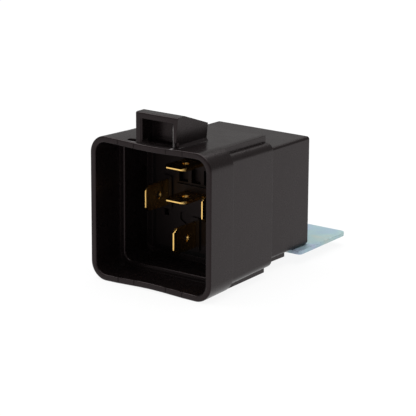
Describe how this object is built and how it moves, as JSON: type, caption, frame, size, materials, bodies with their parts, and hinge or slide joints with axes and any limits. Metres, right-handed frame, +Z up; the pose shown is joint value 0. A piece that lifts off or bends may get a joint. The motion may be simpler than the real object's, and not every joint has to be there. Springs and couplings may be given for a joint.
{
  "type": "automotive relay",
  "caption": "Skirted plug-in automotive relay with a change-over contact, blade terminals, a latch cage and a steel mounting bracket.",
  "frame": {"origin": "middle of the overall footprint, on the surface that the skirt stands on", "axes": "+Z is up, from the skirt's underside to the latch cage; the skirt's open mouth and the blade tips face -Y; the bracket is at +Y; +X is right when looking along +Y"},
  "size_m": [0.0356, 0.0612, 0.0425],
  "materials": {
    "housing_plastic": "satin black moulded thermoplastic",
    "base_plastic": "black moulded thermoplastic",
    "bobbin_plastic": "natural moulded thermoplastic",
    "sealant": "cured black epoxy",
    "zinc_plate": "bright zinc plated with a pale iridescent passivation",
    "magnet_steel": "nickel plated soft iron",
    "enamelled_copper": "enamelled copper wire",
    "spring_bronze": "rolled spring bronze",
    "terminal_brass": "stamped brass",
    "contact_silver": "silver alloy",
    "resistor_body": "lacquered ceramic",
    "tinned_wire": "tinned copper wire"
  },
  "bodies": {
    "relay": {"housing": "housing_plastic", "bracket": "zinc_plate", "base": "base_plastic", "seal": "sealant", "terminal_common": "terminal_brass", "terminal_open": "terminal_brass", "terminal_closed": "terminal_brass", "terminal_coil_left": "terminal_brass", "terminal_coil_right": "terminal_brass", "yoke": "magnet_steel", "core": "magnet_steel", "bobbin": "bobbin_plastic", "winding": "enamelled_copper", "coil_lead_left": "enamelled_copper", "coil_lead_right": "enamelled_copper", "resistor": "resistor_body", "resistor_leads": "tinned_wire", "spring_rivets": "magnet_steel", "open_contact": "contact_silver", "closed_contact": "contact_silver"},
    "armature": {"armature": "magnet_steel", "armature_rivets": "magnet_steel", "moving_contact": "contact_silver", "contact_spring": "spring_bronze"}
  },
  "joints": [
    {"name": "armature_hinge", "type": "hinge", "parent": "relay", "child": "armature", "pos_m": [0, 0.0082, 0.0076], "axis": [1, 0, 0], "range_deg": [0, 2.6], "stiffness_Nm_per_rad": 0.06, "springref_deg": -4.58, "deforming": ["contact_spring"]}
  ]
}
